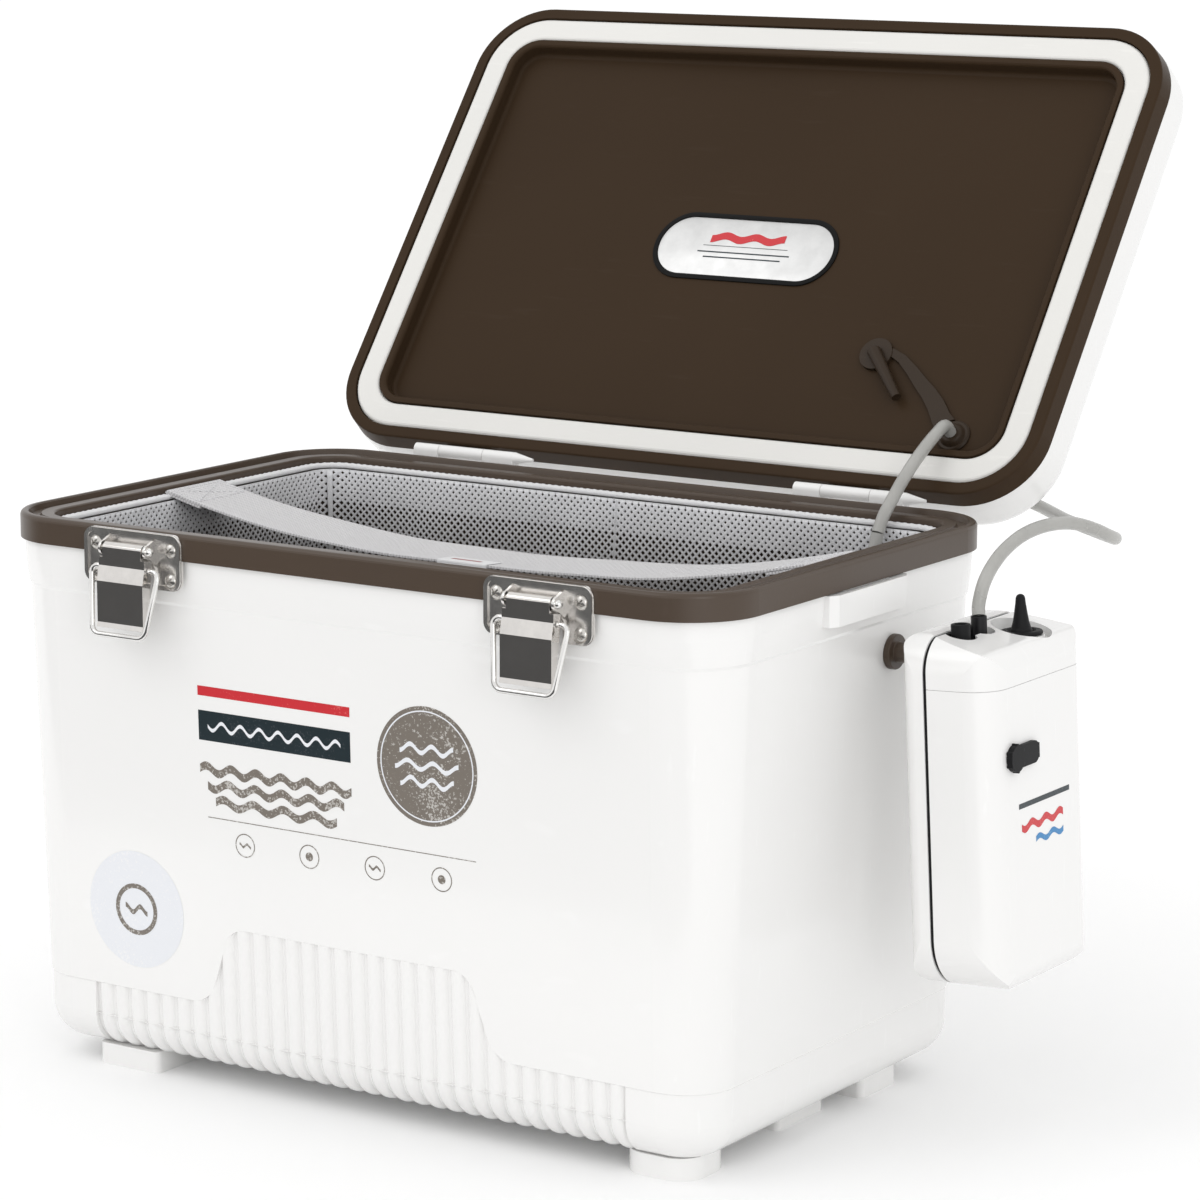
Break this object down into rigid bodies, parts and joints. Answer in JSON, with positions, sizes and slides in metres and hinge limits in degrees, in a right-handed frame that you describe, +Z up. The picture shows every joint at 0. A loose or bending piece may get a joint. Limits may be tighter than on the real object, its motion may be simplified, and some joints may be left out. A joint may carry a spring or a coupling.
{
  "type": "insulated live-bait box",
  "caption": "Insulated white box with a brown liner, a hinged lid held open, a mesh net liner on a strap, two draw latches and an air pump hung on its end with a hose.",
  "frame": {"origin": "on the floor under the feet, below the middle of the rim", "axes": "+X along the box towards the pump, +Y from the latches to the hinges, +Z up"},
  "size_m": [0.445, 0.4277, 0.4459],
  "materials": {
    "white_plastic": "smooth moulded white",
    "brown_plastic": "fine satin moulded brown",
    "dark_brown_rubber": "satin",
    "foam": "closed-cell foam",
    "polished_steel": "polished pressed steel",
    "bright_wire": "polished wire",
    "zinc_screw": "zinc-plated",
    "gasket": "soft ivory seal",
    "silver_plate": "bare silver-white plate in a dark frame",
    "net": "white knitted mesh",
    "webbing": "white flat webbing",
    "stone": "porous grey-blue",
    "hose": "translucent grey tube",
    "black_plastic": "satin black",
    "black_rubber": "matt black"
  },
  "bodies": {
    "tub": {"body_shell": "white_plastic", "body_foam": "foam", "tub_liner": "brown_plastic", "hinge_pins": "zinc_screw", "latch_plate_left": "polished_steel", "latch_plate_right": "polished_steel", "latch_screws": "zinc_screw", "latch_pins": "bright_wire", "pump_mount": "brown_plastic", "pump_mount_screw": "zinc_screw", "hose_outer": "hose"},
    "lid": {"lid_shell": "white_plastic", "lid_foam": "foam", "lid_liner": "brown_plastic", "lid_gasket": "gasket", "lid_label_plate": "silver_plate", "hose_grommet": "dark_brown_rubber", "grommet_stopper": "dark_brown_rubber", "hose_drop": "hose"},
    "lever_left": {"lever_left": "polished_steel"},
    "lever_right": {"lever_right": "polished_steel"},
    "bail_left": {"bail_left": "bright_wire"},
    "bail_right": {"bail_right": "bright_wire"},
    "net": {"net_bag": "net", "net_hem": "net", "net_strap": "webbing", "strap_tag": "webbing", "air_stone": "stone", "hose_tail": "hose"},
    "pump": {"pump_back_case": "white_plastic", "pump_front_case": "white_plastic", "pump_top_cap": "white_plastic", "pump_seal": "black_rubber", "air_nozzles": "black_plastic", "spare_nozzle_cap": "black_rubber", "switch_bezel": "black_rubber", "port_socket": "black_plastic", "hose_collar": "black_plastic"},
    "switch": {"switch_boot": "black_rubber"},
    "port_cap": {"port_cap": "black_rubber"}
  },
  "joints": [
    {"name": "lid_hinge", "type": "hinge", "parent": "tub", "child": "lid", "pos_m": [0, 0.1246, 0.2465], "axis": [-1, 0, 0], "range_deg": [-127, 0], "deforming": ["hose_outer", "hose_drop"]},
    {"name": "net_lift", "type": "slide", "parent": "tub", "child": "net", "axis": [0, 0, 1], "range_m": [0, 0.1], "deforming": ["hose_drop", "hose_tail"]},
    {"name": "pump_lift", "type": "slide", "parent": "tub", "child": "pump", "axis": [-0.0541, 0, 0.9985], "range_m": [0, 0.014], "deforming": ["hose_outer"]},
    {"name": "switch_toggle", "type": "hinge", "parent": "pump", "child": "switch", "pos_m": [0.23295, 0.0439, 0.21079], "axis": [0.9985, 0, 0.0541], "range_deg": [-14, 14]},
    {"name": "port_cap_hinge", "type": "hinge", "parent": "pump", "child": "port_cap", "pos_m": [0.25273, 0.0224, 0.1684], "axis": [-0.0541, 0, 0.9985], "range_deg": [0, 100]},
    {"name": "lever_left_hinge", "type": "hinge", "parent": "tub", "child": "lever_left", "pos_m": [-0.1036, -0.1242, 0.237], "axis": [1, 0, 0], "range_deg": [-120, 0]},
    {"name": "bail_left_hinge", "type": "hinge", "parent": "lever_left", "child": "bail_left", "pos_m": [-0.1036, -0.12465, 0.229], "axis": [-1, 0, 0], "range_deg": [0, 171]},
    {"name": "lever_right_hinge", "type": "hinge", "parent": "tub", "child": "lever_right", "pos_m": [0.1036, -0.1242, 0.237], "axis": [1, 0, 0], "range_deg": [-120, 0]},
    {"name": "bail_right_hinge", "type": "hinge", "parent": "lever_right", "child": "bail_right", "pos_m": [0.1036, -0.12465, 0.229], "axis": [-1, 0, 0], "range_deg": [0, 171]}
  ]
}
